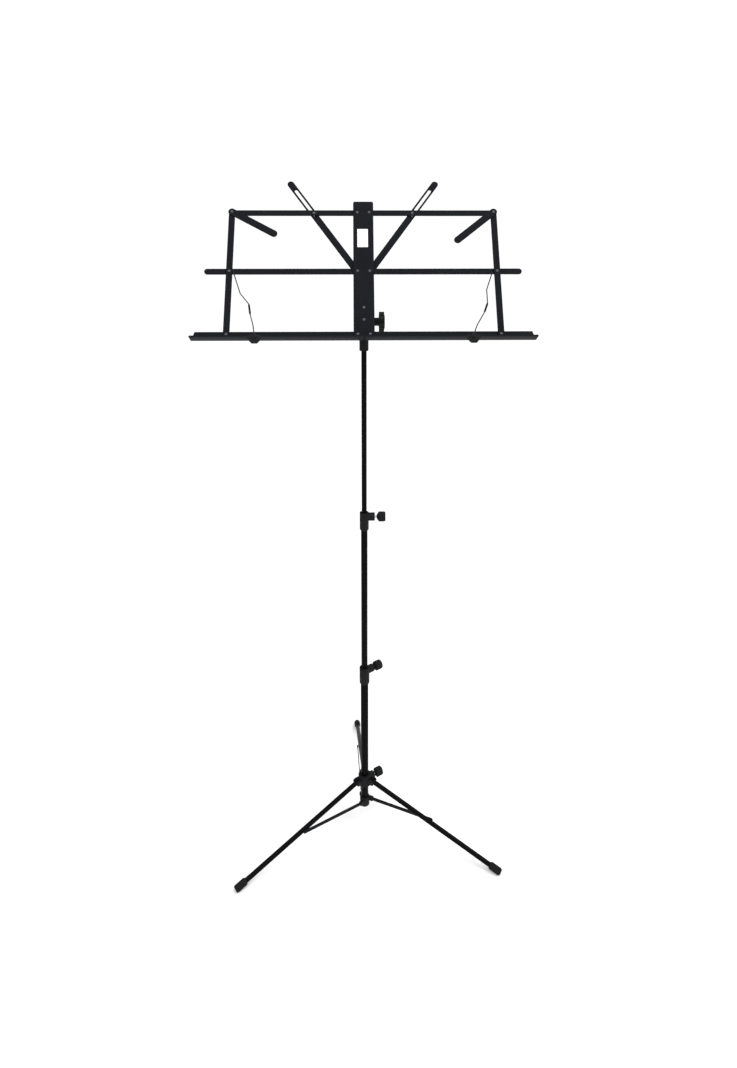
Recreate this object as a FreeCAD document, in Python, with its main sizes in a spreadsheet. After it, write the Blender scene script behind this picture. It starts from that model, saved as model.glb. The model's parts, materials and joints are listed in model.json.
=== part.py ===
"""Folding music stand: a three-part telescopic mast on a folding tripod, with a folding bar desk.

Everything is in millimetres, +Z up. The origin is on the floor, under the middle of the stand's
box. Three frames are used. The mast frame stands on the floor with its Z axis up the middle of
the tubes. The desk frame lies in the front face of the centre plate: x to the right, y up the
plate, z out towards the player, origin midway between the two middle pivots. The leg frames
turn the mast frame so that x points out along a leg.
"""
import FreeCAD, Part
import Sketcher
import math
import os
import re

Vector = FreeCAD.Vector
Placement = FreeCAD.Placement
Rotation = FreeCAD.Rotation
X_AXIS, Y_AXIS, Z_AXIS = Vector(1, 0, 0), Vector(0, 1, 0), Vector(0, 0, 1)

# ---------------------------------------------------------------- driving sizes
SIZES = [
    # mast tubes
    ("lower_tube_dia", 16.0, "outside diameter of the lower tube"),
    ("middle_tube_dia", 13.0, "outside diameter of the middle tube"),
    ("upper_tube_dia", 10.0, "outside diameter of the upper tube"),
    ("tube_wall", 1.0, "wall of all three mast tubes"),
    ("lower_tube_bottom", 50.0, "height of the lower tube's end above the floor"),
    ("lower_tube_length", 321.0, "length of the lower tube"),
    ("middle_tube_length", 376.0, "length of the middle tube"),
    ("upper_tube_length", 411.5, "length of the upper tube"),
    ("tube_overlap", 26.0, "length of each tube left inside the one below, as drawn"),
    ("bush_length", 14.0, "length of the guide bush on the foot of a sliding tube"),
    ("bush_gap", 0.08, "radial running clearance of a bush in its tube"),
    ("slide_gap", 0.3, "radial gap between a sliding piece and what it passes through"),
    # height clamps and thumbscrews
    ("clamp_height", 37.5, "height of a clamp body"),
    ("clamp_grip", 16.5, "how far a clamp body reaches down over the tube it is fixed to"),
    ("clamp_wall", 2.5, "clamp body wall over the tube it is fixed to"),
    ("clamp_screw_drop", 9.0, "screw axis below the top of a clamp body"),
    ("boss_dia", 16.5, "diameter of the boss that holds a screw"),
    ("boss_reach", 20.8, "mast axis to the boss face of a clamp"),
    ("screw_dia", 5.0, "thumbscrew stud diameter"),
    ("turn_gap", 0.1, "radial gap round a screw, pin or rivet that turns"),
    ("nut_dia", 9.0, "outside diameter of the threaded insert"),
    ("nut_length", 5.5, "length of the threaded insert"),
    ("shoe_dia", 7.4, "diameter of the stud's pressure pad"),
    ("shoe_length", 2.0, "length of the pressure pad"),
    ("shoe_gap", 0.1, "gap between the pad and the tube it grips"),
    ("knob_dia", 20.0, "thumbscrew knob diameter over its ribs"),
    ("knob_length", 13.5, "ribbed length of a thumbscrew knob"),
    ("knob_cone", 3.8, "length of the cone between knob and stud"),
    ("knob_stand_off", 3.7, "bare stud between the boss and the cone"),
    ("rib_dia", 3.0, "diameter of a rib on a thumbscrew knob"),
    ("lower_screw_angle", 36.0, "azimuth of the lower clamp's screw, degrees"),
    ("upper_screw_angle", 0.0, "azimuth of the upper clamp's screw, degrees"),
    # tripod
    ("tripod_turn", 3.0, "turn of the tripod about the mast, degrees"),
    ("leg_length", 309.5, "hub pivot to the end of a foot"),
    ("leg_droop", 20.1, "fall of a leg below the horizontal, degrees"),
    ("leg_folded", 86.0, "fall of a folded leg below the horizontal, degrees"),
    ("leg_dia", 10.0, "outside diameter of a leg tube"),
    ("leg_wall", 1.0, "wall of a leg tube"),
    ("foot_dia", 15.0, "outside diameter of a rubber foot"),
    ("foot_length", 25.0, "length of a rubber foot"),
    ("foot_sink", 1.4, "height of the flat worn on the underside of a foot"),
    ("hub_dia", 27.0, "diameter of the hub barrel"),
    ("hub_half", 12.0, "hub barrel above and below the leg pivots"),
    ("hub_gap", 0.1, "radial running clearance of the hub on the lower tube"),
    ("hub_boss_reach", 22.5, "mast axis to the boss face of the hub"),
    ("hub_pivot_radius", 20.0, "mast axis to a leg pivot"),
    ("hub_ear", 3.0, "thickness of a hub ear"),
    ("ear_gap", 0.3, "side gap between an ear and what turns beside it"),
    ("ear_radius", 5.0, "radius of a hub ear about its pin"),
    ("pin_dia", 4.0, "diameter of the tripod's pins and rivets"),
    ("pin_head", 6.0, "diameter of a pin's head"),
    ("collar_dia", 21.0, "diameter of the collar's barrel"),
    ("collar_floor", 4.0, "thickness of the collar under the tube's end"),
    ("collar_above", 8.0, "collar barrel above the strut pivots"),
    ("collar_ear", 1.9, "thickness of a collar ear"),
    ("collar_ear_radius", 4.5, "radius of a collar ear about its pin"),
    ("collar_pivot_height", 58.0, "height of the strut pivots above the floor"),
    ("collar_pivot_radius", 14.0, "mast axis to a strut pivot"),
    ("strut_place", 143.0, "hub pivot to strut pivot along a leg"),
    ("strut_width", 8.0, "width of a strut strip"),
    ("strut_thick", 1.6, "thickness of a strut strip"),
    ("strut_side", 6.1, "leg centre line to the near face of the strut"),
    # desk socket and tilt joint
    ("socket_dia", 17.0, "outside diameter of the desk socket"),
    ("socket_gap", 0.08, "radial running clearance of the socket on the upper tube"),
    ("socket_grip", 42.0, "length of upper tube inside the socket"),
    ("socket_sleeve", 40.5, "length of the round part of the socket"),
    ("socket_head", 53.6, "foot of the socket to the tilt axis"),
    ("tongue_width", 14.6, "thickness of the socket's tongue between the yoke ears"),
    ("tongue_radius", 8.0, "radius of the tongue about the tilt axis"),
    ("yoke_half", 9.5, "half the width of the yoke, and the radius of its ears"),
    ("yoke_sheet", 1.5, "sheet thickness of the yoke"),
    ("yoke_back", 7.1, "front face of the yoke's web behind the front of the plate"),
    ("yoke_top", 63.4, "top of the yoke below the middle pivots"),
    ("yoke_bottom", 106.2, "bottom of the yoke below the middle pivots"),
    ("spacer_half", 4.0, "half the width of the rib between plate and yoke"),
    ("tilt_back", 24.0, "tilt axis behind the front of the centre plate"),
    ("tilt_below", 91.0, "tilt axis below the middle pivots"),
    ("desk_tilt", 30.0, "lean of the desk back from the vertical, degrees"),
    ("tilt_bolt_dia", 5.0, "diameter of the tilt bolt"),
    ("tilt_bolt_head", 9.0, "diameter of the tilt bolt's head"),
    ("tilt_knob_dia", 36.6, "diameter over the lobes of the tilt knob"),
    ("tilt_knob_thick", 10.5, "thickness of the tilt knob's lobes"),
    ("tilt_knob_neck", 15.0, "diameter of the tilt knob's neck"),
    ("tilt_knob_out", 27.5, "desk centre line to the inner face of the lobes"),
    ("lobe_dia", 11.0, "diameter of one lobe of the tilt knob"),
    # centre plate
    ("plate_width", 38.0, "width of the centre plate"),
    ("plate_top", 144.0, "top of the plate above the middle pivots"),
    ("plate_corner", 3.5, "radius of the plate's top corners"),
    ("plate_thick", 1.2, "sheet thickness of the plate"),
    ("plate_rim", 0.8, "depth of the rim turned back round the plate"),
    ("pivot_half", 11.2, "centre line to a plate pivot"),
    ("upper_pivot", 121.5, "upper pivots above the middle pivots"),
    ("lower_pivot", 124.5, "ledge pivots below the middle pivots"),
    ("label_width", 19.6, "width of the paper label"),
    ("label_height", 37.4, "height of the paper label"),
    ("label_middle", 67.0, "middle of the label above the middle pivots"),
    ("label_offset", 1.4, "middle of the label left of the centre line"),
    ("label_thick", 0.2, "thickness of the label"),
    # strips of the desk
    ("strip_wall", 0.9, "sheet thickness of the pressed strips"),
    ("strip_depth", 2.2, "depth of a pressed strip over its turned edges"),
    ("layer_gap", 0.4, "gap between pieces that fold past each other"),
    ("bar_width", 11.0, "width of the upper and middle bars"),
    ("bar_reach", 235.3, "plate pivot to upright rivet along each bar"),
    ("middle_bar_over", 40.7, "upright rivet to a middle bar's end radius centre"),
    ("upright_width", 11.6, "width of an upright"),
    ("swing_width", 13.5, "width of a corner arm"),
    ("swing_length", 92.0, "corner arm pivot to its end radius centre"),
    ("swing_drop_left", 30.0, "left corner arm below its bar, degrees"),
    ("swing_drop_right", 40.0, "right corner arm below its bar, degrees"),
    ("flat_thick", 1.2, "thickness of the corner arms and slotted arms"),
    ("diagonal_width", 12.8, "width of a slotted arm"),
    ("diagonal_length", 224.0, "plate pivot to a slotted arm's end radius centre"),
    ("slot_width", 5.8, "width of the slot"),
    ("slot_spare", 2.5, "slot centre line past the rivet at each end of its travel"),
    ("fold_angle", 84.0, "angle that each half of the desk folds up through, degrees"),
    ("slot_lag", 0.48, "slotted arm below its rivet's line with the desk open, degrees"),
    ("slot_rivet_place", 81.8, "upper bar's plate pivot to the rivet in the slot"),
    ("slot_rivet_dia", 2.5, "diameter of the rivet in the slot"),
    ("slot_head", 7.0, "diameter of the slot rivet's tail"),
    ("rivet_dia", 3.0, "shank diameter of a desk rivet"),
    ("rivet_head", 6.0, "head diameter of a desk rivet"),
    ("head_height", 0.9, "height of a rivet head"),
    ("rivet_play", 0.1, "end play of a rivet"),
    # ledge and page holders
    ("ledge_sheet", 1.0, "sheet thickness of the ledge"),
    ("ledge_inner", 9.7, "ledge's inner end past its pivot"),
    ("ledge_reach", 297.8, "ledge pivot to the outer end"),
    ("ledge_up", 5.5, "back flange above the pivot"),
    ("shelf_drop", 10.3, "shelf's upper face below the pivot"),
    ("shelf_front", 17.0, "shelf's front edge ahead of the plate's front"),
    ("ledge_hem", 1.4, "height of the hem on the shelf's front edge"),
    ("ledge_rake", 18.0, "rake of the ledge's outer end, degrees"),
    ("holder_place", 181.8, "ledge pivot to page holder pivot"),
    ("holder_drop", 12.0, "page holder pivot below the ledge pivot"),
    ("holder_half", 16.0, "half the width of a page holder clip"),
    ("holder_point", 5.0, "half the width of the clip's top and bottom edges"),
    ("holder_up", 3.5, "height of the clip above its pivot"),
    ("holder_down", 12.5, "depth of the clip below its pivot"),
    ("holder_thick", 3.8, "thickness of a clip"),
    ("holder_wire", 2.0, "diameter of the page holder wire"),
    ("bend_swell", 0.06, "swelling of the wire at a bend"),
    ("holder_eye", 2.8, "radius of the wire's eye to its centre line"),
    ("wire_level", 5.6, "wire's eye in front of the shelf's front edge"),
    ("sleeve_dia", 3.6, "outside diameter of the sleeve on the wire"),
]

doc = FreeCAD.newDocument("music_stand")
sheet = doc.addObject("Spreadsheet::Sheet", "Sizes")
for row, (alias, number, note) in enumerate(SIZES, start=1):
    sheet.set(f"A{row}", note)
    sheet.set(f"B{row}", str(number))
    sheet.setAlias(f"B{row}", alias)

LEVELS = [
    ("bar_front", "-plate_thick - plate_rim - layer_gap", "front of the bars and ledge flanges"),
    ("bar_back", "bar_front - strip_wall", "back of a bar's web"),
    ("flange_back", "bar_front - ledge_sheet", "back of a ledge flange"),
    ("upright_front", "bar_front + layer_gap + strip_depth", "front of the uprights"),
    ("upright_back", "upright_front - strip_wall", "back of an upright's web"),
    ("swing_front", "upright_front + layer_gap + flat_thick", "front of the corner arms"),
    ("diagonal_front", "bar_front - strip_depth - layer_gap", "front of the slotted arms"),
    ("diagonal_back", "diagonal_front - flat_thick", "back of the slotted arms"),
]
for row, (alias, formula, note) in enumerate(LEVELS, start=len(SIZES) + 2):
    sheet.set(f"A{row}", note)
    sheet.set(f"B{row}", f"={formula}")
    sheet.setAlias(f"B{row}", alias)
doc.recompute()

V = {alias: float(sheet.get(alias)) for alias, number, note in SIZES + LEVELS}


def cells(expression):
    """An expression in size names, written for setExpression."""
    return re.sub(r"[a-z_]*[a-z]", lambda word: f"Sizes.{word[0]}" if word[0] in V else word[0],
                  str(expression))


def bind(thing, prop, expression):
    """Ties a property of a document object to the sheet."""
    thing.setExpression(prop, cells(expression))


def work_out(alias, number, note):
    """Adds a size that geometry settles to the sheet, so that the bodies can read it."""
    global next_row
    sheet.set(f"A{next_row}", note)
    sheet.set(f"B{next_row}", str(round(number, 4)))
    sheet.setAlias(f"B{next_row}", alias)
    doc.recompute()
    V[alias] = float(sheet.get(alias))
    next_row += 1


next_row = len(SIZES) + len(LEVELS) + 4


def worked_out(expression):
    """The same expression as a number: sums of products of size names and numbers."""
    total = 0.0
    for sign, term in re.findall(r"([+-]?)([^+-]+)", str(expression).replace(" ", "")):
        product = 1.0
        for step, factor in re.findall(r"([*/]?)([^*/]+)", term):
            number = V[factor] if factor in V else float(factor)
            product = product / number if step == "/" else product * number
        total += -product if sign == "-" else product
    return total


# ---------------------------------------------------------------- frames
LEG_NAMES = ("front_left", "front_right", "rear")
LEG_ANGLES = {"rear": 90.0, "front_left": 210.0, "front_right": 330.0}


def leg_angle(name):
    """Azimuth of a leg, with the tripod's turn, in degrees."""
    return LEG_ANGLES[name] + V["tripod_turn"]


def mast_offset():
    """How far the mast stands in front of the origin, so that the feet's box is centred."""
    reach = V["hub_pivot_radius"] + V["leg_length"] * math.cos(math.radians(V["leg_droop"]))
    rear = reach * math.sin(math.radians(leg_angle("rear")))
    front = reach * math.sin(math.radians(leg_angle("front_left")))
    return -(rear + front) / 2


MAST = Placement(Vector(0, mast_offset(), 0), Rotation())

hub_height = (V["leg_length"] * math.sin(math.radians(V["leg_droop"]))
              + V["foot_dia"] / 2 * math.cos(math.radians(V["leg_droop"])) - V["foot_sink"])
lower_top = V["lower_tube_bottom"] + V["lower_tube_length"]
lower_clamp_foot = lower_top - V["clamp_grip"]
middle_foot = lower_top - V["tube_overlap"]
middle_top = middle_foot + V["middle_tube_length"]
upper_clamp_foot = middle_top - V["clamp_grip"]
upper_foot = middle_top - V["tube_overlap"]
upper_top = upper_foot + V["upper_tube_length"]
socket_foot = upper_top - V["socket_grip"]
tilt_height = socket_foot + V["socket_head"]

desk_turn = Rotation(X_AXIS, 90 - V["desk_tilt"])
desk_origin = Vector(0, 0, tilt_height) - desk_turn.multVec(Vector(0, -V["tilt_below"], -V["tilt_back"]))
DESK = MAST.multiply(Placement(desk_origin, desk_turn))


def mast_at(height):
    """The mast frame, raised."""
    return MAST.multiply(Placement(Vector(0, 0, height), Rotation()))


def leg_frame(name):
    """x out along the leg's azimuth, z up, origin on the floor at the mast."""
    return MAST.multiply(Placement(Vector(), Rotation(Z_AXIS, leg_angle(name))))


def screw_frame(angle, height):
    """x out along a screw, origin on the mast axis at the screw's height."""
    return MAST.multiply(Placement(Vector(0, 0, height), Rotation(Z_AXIS, angle)))


def strip_frame(u, v, angle):
    """Origin at a pivot (u, v) of the desk, x along the strip, z out of the desk."""
    return DESK.multiply(Placement(Vector(u, v, 0), Rotation(Z_AXIS, angle)))


# ---------------------------------------------------------------- building blocks
finished = []


def finish(thing, label, frame):
    """Gives a sub-part its name and its place, and lists it for export."""
    thing.Label = label
    thing.Placement = frame
    finished.append(thing)
    return thing


def place(thing, at, turn=None):
    """Puts a primitive at a point given by size names, turned by (axis, degrees)."""
    if turn:
        thing.Placement = Placement(Vector(), Rotation(*turn))
    for letter, expression in zip("xyz", at):
        if expression != 0:
            bind(thing, f"Placement.Base.{letter}", expression)
    return thing


def block(length, width, height, at=(0, 0, 0), turn=None):
    """A box from its low corner."""
    box = doc.addObject("Part::Box", "block")
    bind(box, "Length", length)
    bind(box, "Width", width)
    bind(box, "Height", height)
    return place(box, at, turn)


TURNS = {"x": (Y_AXIS, 90), "y": (X_AXIS, -90), "z": None}


def rod(radius, height, at=(0, 0, 0), along="z"):
    """A cylinder from its first end, along +x, +y or +z."""
    cylinder = doc.addObject("Part::Cylinder", "rod")
    bind(cylinder, "Radius", radius)
    bind(cylinder, "Height", height)
    return place(cylinder, at, TURNS[along])


def cone(first, second, height, at=(0, 0, 0), along="z"):
    """A cone from its first end's radius to its second's."""
    taper = doc.addObject("Part::Cone", "taper")
    bind(taper, "Radius1", first)
    bind(taper, "Radius2", second)
    bind(taper, "Height", height)
    return place(taper, at, TURNS[along])


def join(*pieces):
    """One solid from pieces that overlap or meet."""
    if len(pieces) == 1:
        return group(*pieces)
    whole = doc.addObject("Part::MultiFuse", "joined")
    whole.Shapes = list(pieces)
    return whole


def take(base, *tools):
    """The base with the tools cut out of it."""
    result = doc.addObject("Part::Cut", "cut")
    result.Base = base
    result.Tool = tools[0] if len(tools) == 1 else join(*tools)
    return result


def group(*pieces):
    """Like fasteners in one node, as separate solids."""
    several = doc.addObject("Part::Compound", "group")
    several.Links = list(pieces)
    return several


def new_sketch(body, name, level, plane="XY_Plane"):
    """A sketch on one of the body's own origin planes, moved off it by a level."""
    sketch = body.newObject("Sketcher::SketchObject", name)
    support = [f for f in body.Origin.OriginFeatures if f.Role == plane][0]
    sketch.AttachmentSupport = [(support, "")]
    sketch.MapMode = "FlatFace"
    if level != 0:
        bind(sketch, "AttachmentOffset.Base.z", level)
    return sketch


def dimension(sketch, constraint, name, expression):
    """Adds a constraint, names it and ties it to the sheet."""
    index = sketch.addConstraint(constraint)
    sketch.renameConstraint(index, name)
    bind(sketch, f"Constraints.{name}", expression)


def obround(sketch, length, radius, start=0):
    """A slot shape along x: its first centre at start, its second at length."""
    x1, x2, r = worked_out(start), worked_out(length), worked_out(radius)
    quarter = math.pi / 2
    first = sketch.addGeometry(Part.ArcOfCircle(Part.Circle(Vector(x1, 0, 0), Z_AXIS, r),
                                                quarter, 3 * quarter))
    low = sketch.addGeometry(Part.LineSegment(Vector(x1, -r, 0), Vector(x2, -r, 0)))
    last = sketch.addGeometry(Part.ArcOfCircle(Part.Circle(Vector(x2, 0, 0), Z_AXIS, r),
                                               -quarter, quarter))
    high = sketch.addGeometry(Part.LineSegment(Vector(x2, r, 0), Vector(x1, r, 0)))
    for one, other in ((first, low), (low, last), (last, high), (high, first)):
        sketch.addConstraint(Sketcher.Constraint("Tangent", one, 2, other, 1))
    if start == 0:
        sketch.addConstraint(Sketcher.Constraint("Coincident", first, 3, -1, 1))
    else:
        sketch.addConstraint(Sketcher.Constraint("PointOnObject", first, 3, -1))
        dimension(sketch, Sketcher.Constraint("DistanceX", -1, 1, first, 3, x1), "start", start)
    sketch.addConstraint(Sketcher.Constraint("PointOnObject", last, 3, -1))
    dimension(sketch, Sketcher.Constraint("DistanceX", -1, 1, last, 3, x2), "length", length)
    dimension(sketch, Sketcher.Constraint("Radius", first, r), "radius", radius)


def ring_of_circles(sketch, circles):
    """Circles on the x axis, each (distance from the origin, radius)."""
    for number, (distance, radius) in enumerate(circles):
        x, r = worked_out(distance), worked_out(radius)
        circle = sketch.addGeometry(Part.Circle(Vector(x, 0, 0), Z_AXIS, r))
        if distance == 0:
            sketch.addConstraint(Sketcher.Constraint("Coincident", circle, 3, -1, 1))
        else:
            sketch.addConstraint(Sketcher.Constraint("PointOnObject", circle, 3, -1))
            dimension(sketch, Sketcher.Constraint("DistanceX", -1, 1, circle, 3, x),
                      f"distance{number}", distance)
        dimension(sketch, Sketcher.Constraint("Radius", circle, r), f"radius{number}", radius)


def pad(body, sketch, length, reversed_side=False):
    """Adds material from the sketch, along its normal or against it."""
    feature = body.newObject("PartDesign::Pad", "Pad")
    feature.Profile = sketch
    bind(feature, "Length", length)
    feature.Reversed = reversed_side
    return feature


def pocket(body, sketch, length=None):
    """Cuts the sketch down, against its normal, to a depth or right through."""
    feature = body.newObject("PartDesign::Pocket", "Pocket")
    feature.Profile = sketch
    if length is None:
        feature.Type = "ThroughAll"
    else:
        bind(feature, "Length", length)
    return feature


def strip(length, width, front, holes=(), slot=None, thick=None):
    """A steel strip with round ends, its pivot at the origin and its front face at a level.

    Without a thickness it is a shallow channel, open at the back. Holes are (distance, radius)
    and the slot is (first centre, last centre, half width).
    """
    body = doc.addObject("PartDesign::Body", "strip")
    outline = new_sketch(body, "Outline", front)
    obround(outline, length, f"{width}/2")
    pad(body, outline, thick or "strip_depth", reversed_side=True)
    if thick is None:
        hollow = new_sketch(body, "Hollow", f"{front} - strip_wall")
        obround(hollow, length, f"{width}/2 - strip_wall")
        pocket(body, hollow, "strip_depth")
    if holes:
        drilled = new_sketch(body, "Holes", front)
        ring_of_circles(drilled, holes)
        pocket(body, drilled)
    if slot:
        opening = new_sketch(body, "Slot", front)
        obround(opening, slot[1], slot[2], slot[0])
        pocket(body, opening)
    return body


def tube(outside, inside, length, level=0):
    """A round tube: a ring drawn at a level and padded up."""
    body = doc.addObject("PartDesign::Body", "tube")
    ring = new_sketch(body, "Ring", level)
    ring_of_circles(ring, [(0, outside), (0, inside)])
    pad(body, ring, length)
    return body


def turned(thing, angle):
    """Turns a piece about the mast axis of its own frame."""
    thing.Placement = Placement(Vector(), Rotation(Z_AXIS, angle))
    return thing


def rivet(x, y, top, bottom, collars=(), shank="rivet_dia/2", tail="rivet_head/2"):
    """A rivet along z: a low domed head above the top level, a flat tail below the bottom one.

    Collars are shoulders round the shank, each from its upper to its lower level.
    """
    parts = [
        rod(shank, f"({top}) - ({bottom})", (x, y, bottom)),
        cone("rivet_head/2", "rivet_head/3", "head_height", (x, y, top)),
        rod(tail, "head_height", (x, y, f"{bottom} - head_height")),
    ]
    for high, low in collars:
        parts.append(rod("rivet_head/2", f"({high}) - ({low})", (x, y, low)))
    return join(*parts)


# ---------------------------------------------------------------- mast tubes
finish(tube("lower_tube_dia/2", "lower_tube_dia/2 - tube_wall", "lower_tube_length"),
       "lower_tube", mast_at(V["lower_tube_bottom"]))
finish(tube("middle_tube_dia/2", "middle_tube_dia/2 - tube_wall", "middle_tube_length"),
       "middle_tube", mast_at(middle_foot))
finish(tube("upper_tube_dia/2", "upper_tube_dia/2 - tube_wall", "upper_tube_length"),
       "upper_tube", mast_at(upper_foot))
finish(tube("lower_tube_dia/2 - tube_wall - bush_gap", "middle_tube_dia/2", "bush_length"),
       "middle_tube_bush", mast_at(middle_foot))
finish(tube("middle_tube_dia/2 - tube_wall - bush_gap", "upper_tube_dia/2", "bush_length"),
       "upper_tube_bush", mast_at(upper_foot))


# ---------------------------------------------------------------- thumbscrews
def screw_way(slider, reach, height):
    """What a thumbscrew needs cut in a body: pad pocket, stud hole and insert seat."""
    return [
        rod("shoe_dia/2 + slide_gap", f"{slider}/2 + shoe_gap + shoe_length + slide_gap",
            (0, 0, height), "x"),
        rod("screw_dia/2 + slide_gap", reach, (0, 0, height), "x"),
        rod("nut_dia/2", "nut_length", (f"{reach} - nut_length", 0, height), "x"),
    ]


def thumbscrew(prefix, frame, slider, reach):
    """Insert, stud and ribbed knob of one thumbscrew, along x from the mast axis."""
    insert = take(rod("nut_dia/2", "nut_length", (f"{reach} - nut_length", 0, 0), "x"),
                  rod("screw_dia/2 + turn_gap", "nut_length", (f"{reach} - nut_length", 0, 0), "x"))
    finish(insert, f"{prefix}_nut", frame)

    tip = f"{slider}/2 + shoe_gap"
    stud_length = f"{reach} - {slider}/2 - shoe_gap + knob_stand_off + knob_cone + knob_length/2"
    stud = join(rod("screw_dia/2", stud_length, (tip, 0, 0), "x"),
                rod("shoe_dia/2", "shoe_length", (tip, 0, 0), "x"))
    finish(stud, f"{prefix}_stud", frame)

    cone_from = f"{reach} + knob_stand_off"
    grip_from = f"{reach} + knob_stand_off + knob_cone"
    knob = [cone("screw_dia/2 + tube_wall", "knob_dia/2 - rib_dia/4", "knob_cone",
                 (cone_from, 0, 0), "x"),
            rod("knob_dia/2 - rib_dia/4", "knob_length", (grip_from, 0, 0), "x")]
    for number in range(12):
        rib = join(rod("rib_dia/2", "knob_length - rib_dia/2",
                       (grip_from, 0, "knob_dia/2 - rib_dia/2"), "x"))
        rib.Placement = Placement(Vector(), Rotation(X_AXIS, 30 * number))
        knob.append(rib)
    socket = rod("screw_dia/2", "knob_cone + knob_length/2", (cone_from, 0, 0), "x")
    finish(take(join(*knob), socket), f"{prefix}_knob", frame)


def clamp(prefix, foot, fixed, slider, angle):
    """A height clamp: fixed on the top of one tube, its screw grips the tube inside."""
    screw_height = "clamp_height - clamp_screw_drop"
    outside = f"{fixed}/2 + clamp_wall"
    body = join(
        cone(f"{fixed}/2 + tube_wall", outside, "clamp_wall", along="z"),
        rod(outside, "clamp_height - clamp_wall", (0, 0, "clamp_wall")),
        rod("boss_dia/2", "boss_reach", (0, 0, screw_height), "x"),
    )
    cuts = [rod(f"{fixed}/2", "clamp_grip"),
            rod(f"{slider}/2 + slide_gap", "clamp_height")]
    cuts += screw_way(slider, "boss_reach", screw_height)
    finish(take(body, *cuts), f"{prefix}_body", screw_frame(angle, foot))
    height = foot + V["clamp_height"] - V["clamp_screw_drop"]
    thumbscrew(prefix, screw_frame(angle, height), slider, "boss_reach")


clamp("lower_clamp", lower_clamp_foot, "lower_tube_dia", "middle_tube_dia",
      V["lower_screw_angle"])
clamp("upper_clamp", upper_clamp_foot, "middle_tube_dia", "upper_tube_dia",
      V["upper_screw_angle"])

# ---------------------------------------------------------------- hub
# local frame: origin on the mast axis at the leg pivots' height, legs at 90, 210 and 330 degrees
HUB_FRAME = screw_frame(V["tripod_turn"], hub_height)
hub_pieces = [rod("hub_dia/2", "2*hub_half", (0, 0, "-hub_half")),
              turned(join(rod("boss_dia/2", "hub_boss_reach", along="x")), 30)]
hub_cuts = [rod("lower_tube_dia/2 + hub_gap", "2*hub_half", (0, 0, "-hub_half")),
            turned(join(*screw_way("lower_tube_dia", "hub_boss_reach", 0)), 30)]
leg_pins = []
ear_out = "leg_dia/2 + ear_gap + hub_ear"
for angle in LEG_ANGLES.values():
    ears = []
    for start in ("leg_dia/2 + ear_gap", "-leg_dia/2 - ear_gap - hub_ear"):
        ears.append(block("hub_pivot_radius", "hub_ear", "2*ear_radius", (0, start, "-ear_radius")))
        ears.append(rod("ear_radius", "hub_ear", ("hub_pivot_radius", start, 0), "y"))
    hub_pieces.append(turned(join(*ears), angle))
    hub_cuts.append(turned(join(rod("pin_dia/2", "3*leg_dia",
                                    ("hub_pivot_radius", "-1.5*leg_dia", 0), "y")), angle))
    near = "-leg_dia/2 - ear_gap - hub_ear - head_height"
    pin = join(rod("pin_dia/2", "leg_dia + 2*ear_gap + 2*hub_ear + 2*head_height",
                   ("hub_pivot_radius", near, 0), "y"),
               rod("pin_head/2", "head_height", ("hub_pivot_radius", near, 0), "y"),
               rod("pin_head/2", "head_height", ("hub_pivot_radius", ear_out, 0), "y"))
    leg_pins.append(turned(pin, angle))
finish(take(join(*hub_pieces), *hub_cuts), "hub", HUB_FRAME)
finish(group(*leg_pins), "leg_pins", HUB_FRAME)
thumbscrew("hub", screw_frame(V["tripod_turn"] + 30, hub_height), "lower_tube_dia",
           "hub_boss_reach")

# ---------------------------------------------------------------- bottom collar
# local frame: origin on the mast axis at the strut pivots' height
COLLAR_FRAME = screw_frame(V["tripod_turn"], V["collar_pivot_height"])
tube_end = "lower_tube_bottom - collar_pivot_height"
collar_height = "collar_pivot_height - lower_tube_bottom + collar_floor + collar_above"
collar_pieces = [
    rod("collar_dia/2", collar_height, (0, 0, f"{tube_end} - collar_floor")),
    cone("collar_dia/2", "lower_tube_dia/2 + tube_wall", "tube_wall", (0, 0, "collar_above")),
]
collar_cuts = [rod("lower_tube_dia/2", "collar_pivot_height", (0, 0, tube_end))]
collar_pins = []
inner_ear = "strut_side - ear_gap - collar_ear"
outer_ear = "strut_side + strut_thick + ear_gap"
for angle in LEG_ANGLES.values():
    ears = []
    for start in (inner_ear, outer_ear):
        ears.append(block("collar_pivot_radius", "collar_ear", "2*collar_ear_radius",
                          (0, start, "-collar_ear_radius")))
        ears.append(rod("collar_ear_radius", "collar_ear", ("collar_pivot_radius", start, 0), "y"))
    collar_pieces.append(turned(join(*ears), angle))
    collar_cuts.append(turned(join(rod("pin_dia/2", "3*strut_width",
                                       ("collar_pivot_radius", inner_ear, 0), "y")), angle))
    pin = join(rod("pin_dia/2", "2*collar_ear + 2*ear_gap + strut_thick + head_height",
                   ("collar_pivot_radius", inner_ear, 0), "y"),
               rod("pin_head/2", "head_height",
                   ("collar_pivot_radius", f"{outer_ear} + collar_ear", 0), "y"))
    collar_pins.append(turned(pin, angle))
finish(take(join(*collar_pieces), *collar_cuts), "bottom_collar", COLLAR_FRAME)
finish(group(*collar_pins), "collar_pins", COLLAR_FRAME)


# ---------------------------------------------------------------- legs, feet and struts
def strut_line():
    """Length of a strut and its rise from the horizontal, in degrees, with the legs open."""
    droop = math.radians(V["leg_droop"])
    out = (V["hub_pivot_radius"] + V["strut_place"] * math.cos(droop)
           - V["collar_pivot_radius"])
    up = hub_height - V["strut_place"] * math.sin(droop) - V["collar_pivot_height"]
    return math.hypot(out, up), math.degrees(math.atan2(up, out))


strut_length, strut_rise = strut_line()
work_out("strut_length", strut_length, "length of a strut between its pivots")

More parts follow.
